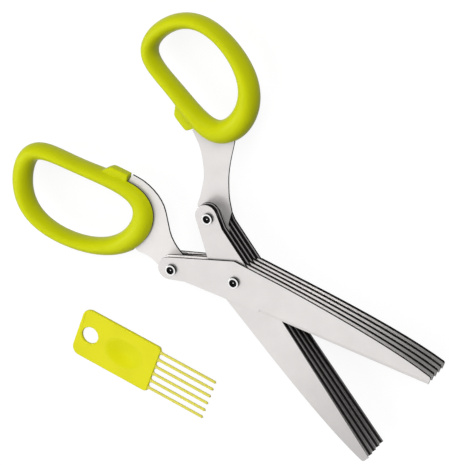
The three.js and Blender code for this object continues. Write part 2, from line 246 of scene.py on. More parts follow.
# Rivet and ring steel, with painted shade in the rivets' cups and on their heads' walls
CUP_WALL_FADE = (0.92 * CUP_RADIUS, CUP_RADIUS)
CUP_MOUTH_FADE = (0.05, 0.2)
DOME_FADE = (0.5 * DOME_RADIUS, DOME_RADIUS)
RIVET_SHADED_SIDE_SHARES = (0.8, 0.98)
WEAR_SCALE = 6
WEAR_DETAIL = 4
WEAR_TONE_SHARE = 0.25
RIVET_ROUGHNESS = 0.1
RIVET_ROUGHNESS_SPREAD = 0.12
RIVET_GLOSS_LEVEL = 0.1
TURNING_LEVEL_SCALE = 0.5
TURNING_UPRIGHT_SCALE = 12
TURNING_DETAIL = 2
RING_ROUGHNESS = 0.28
RING_ROUGHNESS_SPREAD = 0.14

# Moulded plastic
PLASTIC_CLOUD_SCALE = 0.09
PLASTIC_CLOUD_DETAIL = 3
PLASTIC_GRAIN_SCALE = 4.5
PLASTIC_GRAIN_DETAIL = 2
PLASTIC_TONE = 0.93
PLASTIC_TONE_SPREAD = 0.14
PLASTIC_ROUGHNESS_SPREAD = 0.06
PLASTIC_GRAIN_STRENGTH = 0.25
PLASTIC_GLOSS_LEVEL = 0.12
LOOP_ROUGHNESS = 0.36
LOOP_GRAIN_DEPTH = 0.01
COMB_ROUGHNESS = 0.4
COMB_GRAIN_DEPTH = 0.02

# Linear colours
STEEL = (0.735, 0.71, 0.7, 1)
# Painted shade on the blades' upright cut faces and along the finger half's lower spines
SIDE_SHADE_STEEL = (0.012, 0.011, 0.011, 1)
# Painted shade in the band along the thumb half's lower cutting edges
BAND_SHADE_STEEL = (0.014, 0.012, 0.012, 1)
# Painted highlight along the lip of the thumb half's lower cutting edges
EDGE_HIGHLIGHT_STEEL = (0.36, 0.345, 0.345, 1)
RIVET_STEEL = (0.95, 0.95, 0.95, 1)
# Painted shade in the rivets' cups and on their heads' walls
CUP_SHADE_STEEL = (0.006, 0.006, 0.006, 1)
# The rings' two turning tones are dark as painted shade between the blades
DARK_RING_STEEL = (0.2, 0.2, 0.2, 1)
LIGHT_RING_STEEL = (0.34, 0.34, 0.33, 1)
LOOP_GREEN = (0.5, 0.54, 0.002, 1)
# Painted shade in the groove round the shank
GROOVE_SHADE_GREEN = (0.01, 0.012, 0.001, 1)
COMB_GREEN = (0.62, 0.595, 0.014, 1)
# Painted shade in the thumb rest
REST_SHADE_GREEN = (0.585, 0.575, 0.0005, 1)
TOOTH_GREEN = (0.62, 0.57, 0.09, 1)

# Light: each lamp's strength, width in degrees, direction that it comes from, and whether it glints
AMBIENT_LIGHT = 0.22
LAMPS = {
    "key": (1.6, 50, (-0.25, -1, 0.8), False),
    "fill": (2.4, 50, (-0.2, 0.8, 0.85), False),
    "gloss": (0.8, 24, (-0.75, -0.4, 0.6), True),
}
FLOOR_SIZE = 3000
FLOOR_COLOUR = (0.12, 0.12, 0.12, 1)
FLOOR_GLOW = 0.9


class Term:
    """A socket that holds a number. Sums and products with it add Math nodes to its tree."""

    def __init__(self, tree, socket):
        self.tree = tree
        self.socket = socket

    def __add__(self, other):
        return self.tree.math("ADD", self, other)

    def __sub__(self, other):
        return self.tree.math("SUBTRACT", self, other)

    def __rsub__(self, other):
        return self.tree.math("SUBTRACT", other, self)

    def __mul__(self, other):
        return self.tree.math("MULTIPLY", self, other)

    def __truediv__(self, other):
        return self.tree.math("DIVIDE", self, other)

    def __rtruediv__(self, other):
        return self.tree.math("DIVIDE", other, self)

    def __pow__(self, other):
        return self.tree.math("POWER", self, other)

    __radd__ = __add__
    __rmul__ = __mul__


class Tree:
    """Adds nodes to a shader or geometry tree."""

    def __init__(self, nodes):
        self.nodes = nodes

    def add(self, kind, inputs=None, **settings):
        """A node of this kind with its settings made first, then its sockets linked or set."""
        node = self.nodes.nodes.new(kind)
        for name, value in settings.items():
            setattr(node, name, value)
        for key, value in (inputs or {}).items():
            self.feed(node.inputs[key], value)
        return node

    def feed(self, socket, value):
        """Links a term or socket to this socket, or sets a plain value on it."""
        source = value.socket if isinstance(value, Term) else value
        if isinstance(source, bpy.types.NodeSocket):
            self.nodes.links.new(source, socket)
        else:
            socket.default_value = source

    def math(self, operation, *values):
        node = self.add("ShaderNodeMath", dict(enumerate(values)), operation=operation)
        return Term(self, node.outputs[0])

    def split(self, vector):
        """The three terms of a vector socket."""
        node = self.add("ShaderNodeSeparateXYZ", {0: vector})
        return [Term(self, output) for output in node.outputs]

    def joined(self, x, y, z):
        return self.add("ShaderNodeCombineXYZ", {0: x, 1: y, 2: z}).outputs[0]

    def ease(self, value, start, end):
        """0 before start and 1 after end, with a smooth step between them."""
        node = self.add(
            "ShaderNodeMapRange",
            {"Value": value, "From Min": start, "From Max": end},
            interpolation_type="SMOOTHSTEP",
        )
        return Term(self, node.outputs["Result"])

    def mixed(self, share, first, second):
        """Two colours mixed by a share."""
        node = self.add("ShaderNodeMix", {"Factor": share, 6: first, 7: second}, data_type="RGBA")
        return node.outputs[2]

    def scaled(self, colour, tone):
        """A plain colour made lighter or darker."""
        node = self.add("ShaderNodeVectorMath", {0: colour[:3], 3: tone}, operation="SCALE")
        return node.outputs[0]

    def noise(self, vector, scale, detail):
        node = self.add("ShaderNodeTexNoise", {"Vector": vector, "Scale": scale, "Detail": detail})
        return Term(self, node.outputs[0])

    def relief(self, height, strength, depth):
        """The normal of a finely uneven surface."""
        inputs = {"Height": height, "Strength": strength, "Distance": depth * MM}
        return self.add("ShaderNodeBump", inputs).outputs[0]

    def sine(self, angle):
        return self.math("SINE", angle)

    def cosine(self, angle):
        return self.math("COSINE", angle)


def pivot_point():
    """The pivot's axis on the top blade."""
    low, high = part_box("pivot_rivet")
    return Vector(((low.x + high.x) / 2, (low.y + high.y) / 2, high.z - HEAD_HEIGHT * MM))


def stack_middle():
    low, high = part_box("pivot_rivet")
    return (low.z + high.z - HEAD_HEIGHT * MM) / 2


PIVOT = pivot_point()
STACK_MIDDLE = stack_middle()


# Materials


def material(name):
    """A new material's tree and its shader."""
    made = bpy.data.materials.new(name)
    made.use_nodes = True
    shader = made.node_tree.nodes["Principled BSDF"]
    return made, Tree(made.node_tree), shader


def place_terms(tree):
    """Where a surface point lies in the part's frame, in millimetres from the pivot."""
    place = tree.add("ShaderNodeTexCoord").outputs["Object"]
    x, y, z = tree.split(place)
    return (x - PIVOT.x) / MM, (y - PIVOT.y) / MM, (z - PIVOT.z) / MM


def blade_terms(tree, half):
    """The same place along and across a half's blades."""
    x, y, _ = place_terms(tree)
    sign = 1 if half == "finger" else -1
    along = x * math.cos(HALF_OPENING) + y * (sign * math.sin(HALF_OPENING))
    across = y * (sign * math.cos(HALF_OPENING)) - x * math.sin(HALF_OPENING)
    return along, across


def stack_share(tree, kind, along):
    """1 where a blade lies in the stack, 0 where it lies on top or leaves as the shank."""
    if kind == "shank":
        return tree.ease(along, *STACK_END_FADE)
    return 1 if kind == "inner" else 0


def spine_distance(tree, along, across):
    """How far inward from a blade's spine a point lies; the spine is a parabola up to the tip."""
    first = SPINE_BELLY_REACH + SPINE_START
    second = TIP_REACH - SPINE_BELLY_REACH
    curl = first - second
    under = tree.math("MAXIMUM", first**2 - (along + SPINE_START) * curl, 0)
    share = tree.math("MAXIMUM", (first - under**0.5) / curl, 0)
    return SPINE_HEIGHT - share * share * SPINE_FALL - across


def cutting_edge_distance(tree, along, across):
    """How far inward from a blade's cutting edge, tang or round rear lobe a point lies."""
    front_edge = (along / TIP_REACH - 1) * EDGE_DROP
    tang_edge = (along + HEEL_SETBACK) * TANG_SLOPE - HEEL_DROP
    inward = across - tree.math("MINIMUM", front_edge, tang_edge)
    from_lobe = ((along + LOBE_SETBACK) ** 2 + (across + LOBE_DROP) ** 2) ** 0.5
    at_lobe = tree.math("LESS_THAN", along, -LOBE_START)
    return inward + (LOBE_RADIUS - from_lobe - inward) * at_lobe


def grind_end_share(tree, along, across):
    """1 on the small step where the ground bevel of a blade starts, which stays bright, out of the
    painted shade on upright faces.
    """
    beside = tree.math("ABSOLUTE", along - GRIND_START)
    return (1 - tree.ease(beside, *GRIND_END_FADE)) * (1 - tree.ease(across, *GRIND_LOW_FADE))


def side_share(tree, steep, level):
    """1 on upright faces and 0 on level ones."""
    normal = tree.add("ShaderNodeNewGeometry").outputs["Normal"]
    _, _, upward = tree.split(normal)
    return 1 - tree.ease(tree.math("ABSOLUTE", upward), steep, level)


def stacked_shade_and_highlight(tree, half, toned, stacked, along, across):
    """A stacked blade's tone with the finger half's painted shade line, or the thumb half's painted
    shade band with the painted highlight of its lip.
    """
    if half == "finger":
        # The line is painted shade along the spine
        line = 1 - tree.ease(spine_distance(tree, along, across), *FINGER_SHADE_LINE_FADE)
        return tree.mixed(line * stacked, toned, SIDE_SHADE_STEEL)
    inward = cutting_edge_distance(tree, along, across)
    # The band is painted shade
    band = 1 - tree.ease(inward, *SHADE_BAND_FADE)
    # The lip is a painted highlight, dimmer towards the tip
    lip = 1 - tree.ease(inward, *THUMB_HIGHLIGHT_FADE)
    lip = lip * (1 - tree.ease(along, 0, TIP_REACH) * TIP_HIGHLIGHT_FADE_SHARE)
    return tree.mixed(lip * stacked, tree.mixed(band * stacked, toned, BAND_SHADE_STEEL), EDGE_HIGHLIGHT_STEEL)


def blade_steel(half, kind):
    """Brushed blade steel with painted shade on its cut edges and towards the tip, and painted
    light and shade on the stacked blades.
    """
    made, tree, shader = material(f"{half}_{kind}_blade_steel")
    along, across = blade_terms(tree, half)
    stretched = tree.joined(along * GRAIN_ALONG_SCALE, across * GRAIN_ACROSS_SCALE, 0)
    grain = tree.noise(stretched, 1, GRAIN_DETAIL)
    cloud = tree.noise(tree.joined(along, across, 0), CLOUD_SCALE, CLOUD_DETAIL)
    tone = STEEL_TONES_WITH_PAINTED_LIGHT[half, kind] + grain * GRAIN_TONE_SHARE + cloud * CLOUD_TONE_SHARE
    shade = 1 - tree.ease(along, *TIP_SHADE_FADE) * TIP_SHADES[half, kind]
    stacked = stack_share(tree, kind, along)
    if kind == "top":
        toned = tree.scaled(STEEL, tone * shade)
    else:
        # Stacked blades are lightened or darkened as painted light and shade
        toned = tree.scaled(STEEL, tone * (shade * (1 + STACK_PAINTED_LIGHT_GAINS[half] * stacked)))
        toned = stacked_shade_and_highlight(tree, half, toned, stacked, along, across)
    # Upright faces get painted shade, except on the step where the grind starts
    side = side_share(tree, *BLADE_SHADED_SIDE_SHARES) * (1 - grind_end_share(tree, along, across))
    metal = LONE_METAL_SHARES[kind] - (LONE_METAL_SHARES[kind] - STACK_METAL_SHARE) * stacked
    tree.feed(shader.inputs["Base Color"], tree.mixed(side, toned, SIDE_SHADE_STEEL))
    tree.feed(shader.inputs["Roughness"], BLADE_ROUGHNESS + grain * BLADE_ROUGHNESS_SPREAD)
    tree.feed(shader.inputs["Metallic"], metal * (1 - side))
    tree.feed(shader.inputs["Normal"], tree.relief(grain, BLADE_GRAIN_STRENGTH, BLADE_GRAIN_DEPTH))
    shader.inputs["Specular IOR Level"].default_value = 0
    return made


def rivet_steel(centre_x, centre_y, head_z, name):
    """Polished steel, with painted shade that makes it black in the cup and on the wall of the
    head.
    """
    made, tree, shader = material(name)
    place = tree.add("ShaderNodeTexCoord").outputs["Object"]
    x, y, z = tree.split(place)
    across = ((x - centre_x) ** 2 + (y - centre_y) ** 2) ** 0.5 / MM
    depth = (head_z - z) / MM
    # The cup, but not its dome, gets painted shade
    in_cup = (1 - tree.ease(across, *CUP_WALL_FADE)) * tree.ease(depth, *CUP_MOUTH_FADE)
    in_cup = in_cup * tree.ease(across, *DOME_FADE)
    wear = tree.noise(tree.joined(x / MM, y / MM, z / MM), WEAR_SCALE, WEAR_DETAIL)
    toned = tree.mixed(wear * WEAR_TONE_SHARE, RIVET_STEEL, STEEL)
    # Painted shade on the cup and the head's wall
    dark = tree.math("MAXIMUM", in_cup, side_share(tree, *RIVET_SHADED_SIDE_SHARES))
    tree.feed(shader.inputs["Base Color"], tree.mixed(dark, toned, CUP_SHADE_STEEL))
    tree.feed(shader.inputs["Roughness"], RIVET_ROUGHNESS + wear * RIVET_ROUGHNESS_SPREAD)
    tree.feed(shader.inputs["Metallic"], 1 - dark)
    shader.inputs["Specular IOR Level"].default_value = RIVET_GLOSS_LEVEL
    return made


def ring_steel():
    """Turned steel of the spacers and washers, darkened as painted shade for the shade between the
    blades.
    """
    made, tree, shader = material("ring_steel")
    x, y, z = place_terms(tree)
    level_x, level_y = x * TURNING_LEVEL_SCALE, y * TURNING_LEVEL_SCALE
    turned = tree.noise(tree.joined(level_x, level_y, z * TURNING_UPRIGHT_SCALE), 1, TURNING_DETAIL)
    tree.feed(shader.inputs["Base Color"], tree.mixed(turned, DARK_RING_STEEL, LIGHT_RING_STEEL))
    tree.feed(shader.inputs["Roughness"], RING_ROUGHNESS + turned * RING_ROUGHNESS_SPREAD)
    shader.inputs["Metallic"].default_value = 1
    return made


def groove_front_share(tree, groove_low, along, across, level):
    """1 on a loop's front beside its shank and at the shank's level, and 0 elsewhere."""
    in_level = 1 - tree.ease(level, GROOVE_FLAT_SHARE * GROOVE_HALF_HEIGHT, GROOVE_HALF_HEIGHT)
    on_front = tree.ease(along, -GROOVE_START, GROOVE_RUN_IN - GROOVE_START)
    return in_level * on_front * tree.ease(across, groove_low, groove_low + GROOVE_END_RUN)


def groove_shade_share(tree, half):
    """1 in the fine groove where a loop was moulded round its shank, which gets painted shade."""
    loop = LOOPS[half]
    along, across = blade_terms(tree, half)
    _, _, z = place_terms(tree)
    level = tree.math("ABSOLUTE", z - (STACK_MIDDLE - PIVOT.z) / MM)
    beside = ((along + loop["setback"]) / loop["half_length"]) ** 2
    beside = beside + ((across - loop["rise"]) / loop["half_width"]) ** 2
    on_front = groove_front_share(tree, loop["groove_low"], along, across, level)
    return tree.ease(beside, *GROOVE_RIM_SHARES) * on_front


def rest_shade_share(tree):
    """1 in the deepest, thinnest part of the comb's thumb rest and 0 round it, where painted shade
    lies.
    """
    x, y, _ = place_terms(tree)
    x, y = x - COMB_FROM_PIVOT[0], y - COMB_FROM_PIVOT[1]
    along = x * math.cos(COMB_TURN) + y * math.sin(COMB_TURN) - THUMB_REST_LEAD
    across = y * math.cos(COMB_TURN) - x * math.sin(COMB_TURN)
    beside = (along / (THUMB_REST_LENGTH / 2)) ** 2 + (across / (THUMB_REST_WIDTH / 2)) ** 2
    return 1 - tree.ease(beside, *REST_SHADE_SHARES)


def moulded_plastic(name, colour, roughness, grain_depth, half=None, rest_shade_colour=None):
    """Dyed plastic with a faint unevenness of tone, a fine moulded grain and a soft gloss, and
    painted shade in a loop's groove or the comb's thumb rest.
    """
    made, tree, shader = material(name)
    x, y, z = place_terms(tree)
    place = tree.joined(x, y, z)
    cloud = tree.noise(place, PLASTIC_CLOUD_SCALE, PLASTIC_CLOUD_DETAIL)
    grain = tree.noise(place, PLASTIC_GRAIN_SCALE, PLASTIC_GRAIN_DETAIL)
    toned = tree.scaled(colour, PLASTIC_TONE + cloud * PLASTIC_TONE_SPREAD)
    if half:
        # The groove gets painted shade
        toned = tree.mixed(groove_shade_share(tree, half), toned, GROOVE_SHADE_GREEN)
    if rest_shade_colour:
        # The thumb rest gets painted shade
        toned = tree.mixed(rest_shade_share(tree), toned, rest_shade_colour)
    tree.feed(shader.inputs["Base Color"], toned)
    tree.feed(shader.inputs["Roughness"], roughness + grain * PLASTIC_ROUGHNESS_SPREAD)
    tree.feed(shader.inputs["Normal"], tree.relief(grain, PLASTIC_GRAIN_STRENGTH, grain_depth))
    shader.inputs["Specular IOR Level"].default_value = PLASTIC_GLOSS_LEVEL
    return made


# Meshes


def piece(name, mesh, finish, slot, body, *nodes):
    """A finished piece that rides on a body and stands for CAD nodes."""
    made = bpy.data.objects.new(name, mesh)
    bpy.context.scene.collection.objects.link(made)
    mesh.materials.clear()
    mesh.materials.append(finish)
    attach(made, body)
    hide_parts(*nodes)
    return made


def mesh_from(name, shape):
    """A mesh from a bmesh, with its faces turned outwards."""
    bmesh.ops.remove_doubles(shape, verts=shape.verts, dist=MERGE_DISTANCE * MM)
    bmesh.ops.recalc_face_normals(shape, faces=shape.faces)
    mesh = bpy.data.meshes.new(name)
    shape.to_mesh(mesh)
    shape.free()
    return mesh


def smooth_by_angle(mesh, limit):
    """Smooth shading, but not over edges that turn by more than the limit."""
    mesh.shade_smooth()
    mesh.set_sharp_from_angle(angle=limit)


def round_edges(made, width, limit):
    """Rounds the sharp edges of a piece and evens out its shading."""
    bevel = made.modifiers.new("edge_rounding", "BEVEL")
    bevel.width = width * MM
    bevel.segments = BEVEL_STEPS
    bevel.limit_method = "ANGLE"
    bevel.angle_limit = limit
    bevel.harden_normals = True


def blade_piece(half, number, steels):
    """A blade with the frame's outline, its edges rounded as a punched and tumbled plate's are."""
    node = f"{half}_blade_{number}"
    shape = bmesh.new()
    shape.from_mesh(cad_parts[node].data)
    bmesh.ops.remove_doubles(shape, verts=shape.verts, dist=MERGE_DISTANCE * MM)
    bmesh.ops.dissolve_limit(
        shape, angle_limit=COPLANAR_ANGLE, verts=shape.verts, edges=shape.edges
    )
    mesh = mesh_from(f"{half}_blade_plate_{number}", shape)
    smooth_by_angle(mesh, BLADE_SHARP_ANGLE)
    kind = {1: "top", SHANK_NUMBER: "shank"}.get(number, "inner")
    made = piece(mesh.name, mesh, steels[half, kind], "blade_steel", f"{half}_half", node)
    round_edges(made, EDGE_ROUNDING, BLADE_BEVEL_ANGLE)
    return made


def lathed(name, profile, centre, steps=LATHE_STEPS):
    """A solid of revolution round an upright axis, from (radius, height) pairs in millimetres."""
    shape = bmesh.new()
    rings = []
    for radius, height in profile:
        ring = []
        for i in range(steps if radius else 1):
            angle = TAU * i / steps
            offset = Vector((radius * math.cos(angle), radius * math.sin(angle), height))
            ring.append(shape.verts.new(centre + offset * MM))
        rings.append(ring)
    for lower, upper in zip(rings, rings[1:]):
        for i in range(steps):
            j = (i + 1) % steps
            corners = [lower[i % len(lower)], lower[j % len(lower)]]
            corners += [upper[j % len(upper)], upper[i % len(upper)]]
            shape.faces.new(list(dict.fromkeys(corners)))
    return mesh_from(name, shape)


def rounded(centre_x, centre_y, radius, start, end, steps=ROUNDING_STEPS):
    """Points of an arc, or of a profile's rounding."""
    points = []
    for i in range(steps + 1):
        angle = start + (end - start) * i / steps
        points.append((centre_x + radius * math.cos(angle), centre_y + radius * math.sin(angle)))
    return points


def rivet_piece(node, shaft_radius, body):
    """A hollow-headed rivet: flush tail, shaft, and a drum head with a cup in it."""
    low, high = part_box(node)
    centre = Vector(((low.x + high.x) / 2, (low.y + high.y) / 2, low.z))
    top = (high.z - low.z) / MM
    seat = top - HEAD_HEIGHT
    rim, lip = HEAD_RADIUS - HEAD_ROUNDING, CUP_RADIUS + CUP_ROUNDING
    profile = [(0, 0), (TAIL_RADIUS, 0), (shaft_radius, TAIL_DEPTH)]
    profile += [(shaft_radius, seat), (HEAD_RADIUS, seat)]
    profile += rounded(rim, top - HEAD_ROUNDING, HEAD_ROUNDING, 0, QUARTER_TURN)
    profile += rounded(lip, top - CUP_ROUNDING, CUP_ROUNDING, QUARTER_TURN, 2 * QUARTER_TURN)
    cup_floor = top - CUP_DEPTH
    profile.append((CUP_FLOOR_SHARE * CUP_RADIUS, cup_floor))
    profile.append((DOME_FOOT_SHARE * DOME_RADIUS, cup_floor))
    for share in DOME_SHARES:
        profile.append((share * DOME_RADIUS, cup_floor + DOME_RISE * (1 - share**2)))
    mesh = lathed(node.replace("_rivet", "_hollow_rivet"), profile, centre)
    smooth_by_angle(mesh, RIVET_SHARP_ANGLE)
    finish = rivet_steel(centre.x, centre.y, high.z, f"{node}_steel")
    return piece(mesh.name, mesh, finish, "rivet_steel", body, node)


# Geometry Nodes


def geometry_tree(name, sizes):
    """A new geometry tree with a named input for each size."""
    nodes = bpy.data.node_groups.new(name, "GeometryNodeTree")
    nodes.interface.new_socket(name="Geometry", in_out="OUTPUT", socket_type="NodeSocketGeometry")
    for size in sizes:
        nodes.interface.new_socket(name=size, in_out="INPUT", socket_type="NodeSocketFloat")
    tree = Tree(nodes)
    entry = tree.add("NodeGroupInput")
    terms = {size: Term(tree, entry.outputs[size]) for size in sizes}
    return tree, terms


def smooth_closed(tree, geometry):
    """The geometry with its seams closed and its shading smooth."""
    joined = {"Geometry": geometry, "Distance": GROWN_MERGE_DISTANCE * MM}
    closed = tree.add("GeometryNodeMergeByDistance", joined).outputs[0]
    return tree.add("GeometryNodeSetShadeSmooth", {"Geometry": closed}).outputs[0]


def finish_tree(tree, geometry, finish):
    """Ends a tree with real geometry that carries its material."""
    real = tree.add("GeometryNodeRealizeInstances", {"Geometry": geometry}).outputs[0]
    dressed = tree.add("GeometryNodeSetMaterial", {"Geometry": real, "Material": finish}).outputs[0]
    tree.add("NodeGroupOutput", {0: dressed})


def grown_mesh(name, tree, sizes):
    """The plain mesh that a geometry tree makes with these sizes."""
    holder = bpy.data.objects.new(f"{name}_holder", bpy.data.meshes.new(f"{name}_seed"))
    bpy.context.scene.collection.objects.link(holder)
    modifier = holder.modifiers.new("growth", "NODES")
    modifier.node_group = tree.nodes
    for item in tree.nodes.interface.items_tree:
        if item.in_out == "INPUT":
            modifier[item.identifier] = float(sizes[item.name])
    evaluated = holder.evaluated_get(bpy.context.evaluated_depsgraph_get())
    mesh = bpy.data.meshes.new_from_object(evaluated)
    mesh.name = name
    bpy.data.objects.remove(holder)
    return mesh


def loop_line(tree, s, angle):
    """A point of a loop's middle line, an oval flattened beside the tab, and its way outwards."""
    sine, cosine = tree.sine(angle), tree.cosine(angle)
    sine_2, cosine_2 = tree.sine(angle * 2), tree.cosine(angle * 2)
    sine_3, cosine_3 = tree.sine(angle * 3), tree.cosine(angle * 3)
    middle_x = (cosine + s["nose_share"] * cosine_2 + s["tail_share"] * cosine_3) * s["half_length"]
    middle_y = (sine + s["flat_share"] * cosine_2 + s["corner_share"] * sine_3) * s["half_width"]
    slope_x = 0 - sine - s["nose_share"] * sine_2 * 2 - s["tail_share"] * sine_3 * 3
    slope_y = cosine - s["flat_share"] * sine_2 * 2 + s["corner_share"] * cosine_3 * 3
    normal_x = slope_y * s["half_width"]
    normal_y = 0 - slope_x * s["half_length"]
    length = (normal_x * normal_x + normal_y * normal_y) ** 0.5
    normal_x, normal_y = normal_x / length, normal_y / length

    tilt_sine, tilt_cosine = tree.sine(s["tilt"]), tree.cosine(s["tilt"])
    own_x = middle_x * tilt_cosine - middle_y * tilt_sine - s["setback"]
    own_y = middle_x * tilt_sine + middle_y * tilt_cosine + s["rise"]
    outward_x = normal_x * tilt_cosine - normal_y * tilt_sine
    outward_y = normal_x * tilt_sine + normal_y * tilt_cosine
    return own_x, own_y, outward_x, outward_y


def grip_reach(tree, s, angle, spoke_out, spoke_up):
    """How far the grip's oval section reaches along a spoke."""
    half_width = s["grip_half_width"] + s["shank_gain"] * tree.cosine(angle)
    half_width = half_width + s["end_gain"] * tree.cosine(angle * 2)
    return 1 / ((spoke_out / half_width) ** 2 + (spoke_up / GRIP_HALF_HEIGHT) ** 2) ** 0.5


def tab_reach(tree, s, own_x, own_y, outward_y, spoke_out, ahead, upright):
    """How far the stop tab's nearly square section reaches along a spoke."""
    front_fall = (own_x + s["tab_setback"]) / s["tab_front_slope"] + 1
    rear_fall = 1 - (own_x + s["tab_setback"] + TAB_LENGTH) / s["tab_rear_slope"]
    fall = tree.math("MAXIMUM", front_fall, rear_fall)
    fall = (fall + (fall * fall + TAB_SOFTNESS) ** 0.5) * 0.5
    least_outward, _ = TAB_FACING_SHARES
    height = s["tab_face"] - fall * TAB_SLOPE_DEPTH - own_y
    tab_out = height / tree.math("MAXIMUM", outward_y, least_outward)
    tab_out = tab_out * tree.ease(outward_y, *TAB_FACING_SHARES)
    tab_out = tree.math("MAXIMUM", tab_out, LEAST_TAB_REACH)
    beside = (ahead / tab_out) ** TAB_SQUARENESS + (upright / TAB_HALF_HEIGHT) ** TAB_SQUARENESS
    return beside ** (-1 / TAB_SQUARENESS) * tree.ease(spoke_out, *TAB_SPOKE_SHARES)


def placed(tree, s, x, y, z):
    """A point of a half's own frame moved to where it lies in the part at rest, in metres."""
    turn_sine, turn_cosine = math.sin(HALF_OPENING), math.cos(HALF_OPENING)
    part_x = (x * turn_cosine - y * turn_sine) * MM + s["place_x"]
    part_y = (x * turn_sine + y * turn_cosine) * s["side"] * MM + s["place_y"]
    part_z = z * s["side"] * MM + s["place_z"]
    return tree.joined(part_x, part_y, part_z)


def loop_tree(finish):
    """A moulded grip round its middle line, with the stop tab and the groove round the shank."""
    sizes = list(LOOPS["finger"]) + ["side", "place_x", "place_y", "place_z"]
    tree, s = geometry_tree("moulded_loop", sizes)
    points = {"Size X": TAU, "Size Y": TAU, "Vertices X": LOOP_POINTS, "Vertices Y": GRIP_POINTS}
    grid = tree.add("GeometryNodeMeshGrid", points).outputs["Mesh"]
    angle, around, _ = tree.split(tree.add("GeometryNodeInputPosition").outputs[0])
    own_x, own_y, outward_x, outward_y = loop_line(tree, s, angle)

    spoke_out, spoke_up = tree.cosine(around), tree.sine(around)
    ahead = tree.math("MAXIMUM", spoke_out, LEAST_SPOKE_SHARE)
    upright = tree.math("ABSOLUTE", spoke_up)
    grip = grip_reach(tree, s, angle, spoke_out, spoke_up)
    tab = tab_reach(tree, s, own_x, own_y, outward_y, spoke_out, ahead, upright)
    reach = (grip**TAB_JOIN_SHARPNESS + tab**TAB_JOIN_SHARPNESS) ** (1 / TAB_JOIN_SHARPNESS)

    x = own_x + outward_x * reach * spoke_out
    y = own_y + outward_y * reach * spoke_out
    groove = groove_front_share(tree, s["groove_low"], x, y, upright * reach) * ahead
    reach = reach - groove * GROOVE_DEPTH
    x = own_x + outward_x * reach * spoke_out
    y = own_y + outward_y * reach * spoke_out
    place = placed(tree, s, x, y, reach * spoke_up)
    moved = tree.add("GeometryNodeSetPosition", {"Geometry": grid, "Position": place}).outputs[0]
    finish_tree(tree, smooth_closed(tree, moved), finish)
    return tree


def loop_piece(half, finish):
    sizes = dict(LOOPS[half])
    sizes["tilt"] = math.radians(sizes["tilt"])
    sizes["side"] = 1 if half == "finger" else -1
    sizes["place_x"], sizes["place_y"], sizes["place_z"] = PIVOT.x, PIVOT.y, STACK_MIDDLE
    mesh = grown_mesh(f"{half}_moulded_loop", loop_tree(finish), sizes)
    return piece(mesh.name, mesh, finish, "loop_plastic", f"{half}_half", f"{half}_loop_handle")


def ring_tree(finish):
    """A row of equal rings with rounded edges, one below the other."""
    sizes = ["outer_radius", "bore_radius", "height", "rounding", "pitch"]
    tree, s = geometry_tree("ring_row", sizes + ["place_x", "place_y", "place_z"])
    middle_radius = (s["outer_radius"] + s["bore_radius"]) * (0.5 * MM)
    path = tree.add(
        "GeometryNodeCurvePrimitiveCircle",
        {"Resolution": LATHE_STEPS, "Radius": middle_radius},
        mode="RADIUS",
    )
    section = tree.add(
        "GeometryNodeCurvePrimitiveQuadrilateral",
        {"Width": (s["outer_radius"] - s["bore_radius"]) * MM, "Height": s["height"] * MM},
        mode="RECTANGLE",
    )
    corners = {
        "Curve": section.outputs[0],
        "Radius": s["rounding"] * MM,
        "Count": RING_CORNER_STEPS,
        "Limit Radius": True,
    }
    soft = tree.add("GeometryNodeFilletCurve", corners, mode="POLY")
    sweep = {"Curve": path.outputs[0], "Profile Curve": soft.outputs[0]}
    ring = tree.add("GeometryNodeCurveToMesh", sweep).outputs[0]
    line = tree.add(
        "GeometryNodeMeshLine",
        {
            "Count": BLADE_COUNT - 1,
            "Start Location": tree.joined(s["place_x"], s["place_y"], s["place_z"]),
            "Offset": tree.joined(0, 0, s["pitch"] * -MM),
        },
        mode="OFFSET",
    )
    instances = {"Points": line.outputs[0], "Instance": ring}
    row = tree.add("GeometryNodeInstanceOnPoints", instances).outputs[0]
    smooth = tree.add("GeometryNodeSetShadeSmooth", {"Geometry": row}).outputs[0]
    finish_tree(tree, smooth, finish)
    return tree


def ring_piece(tree, name, body, nodes, outer_radius, shaft_radius, finish):
    low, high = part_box(nodes[0])
    sizes = {
        "outer_radius": outer_radius,
        "bore_radius": shaft_radius + RING_CLEARANCE,
        "height": (high.z - low.z) / MM,
        "rounding": RING_ROUNDING,
        "pitch": BLADE_PITCH,
        "place_x": (low.x + high.x) / 2,
        "place_y": (low.y + high.y) / 2,
        "place_z": (low.z + high.z) / 2,
    }
    mesh = grown_mesh(name, tree, sizes)
    outward = bmesh.new()
    outward.from_mesh(mesh)
    mesh = mesh_from(name, outward)
    smooth_by_angle(mesh, RING_SHARP_ANGLE)
    return piece(name, mesh, finish, "rivet_steel", body, *nodes)


def comb_to_part():
    """The move from the comb's own frame to the part's."""
    low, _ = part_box("cleaning_comb")
    place = Vector((PIVOT.x + COMB_FROM_PIVOT[0] * MM, PIVOT.y + COMB_FROM_PIVOT[1] * MM, low.z))
    return Matrix.Translation(place) @ Matrix.Rotation(COMB_TURN, 4, "Z")


def comb_outline():
    """The comb's handle seen from above, with its four rounded corners."""
    corners = [(1, 1, COMB_FRONT_ROUNDING), (-1, 1, COMB_REAR_ROUNDING)]
    corners += [(-1, -1, COMB_REAR_ROUNDING), (1, -1, COMB_FRONT_ROUNDING)]
    points = []
    for i, (side_x, side_y, rounding) in enumerate(corners):
        centre_x = side_x * (COMB_LENGTH / 2 - rounding)
        centre_y = side_y * (COMB_WIDTH / 2 - rounding)
        start, end = QUARTER_TURN * i, QUARTER_TURN * (i + 1)
        points += rounded(centre_x, centre_y, rounding, start, end, CORNER_STEPS)
    return points


def linked(name, mesh):
    """An object in the scene that only serves to make another mesh."""
    made = bpy.data.objects.new(name, mesh)
    bpy.context.scene.collection.objects.link(made)
    return made


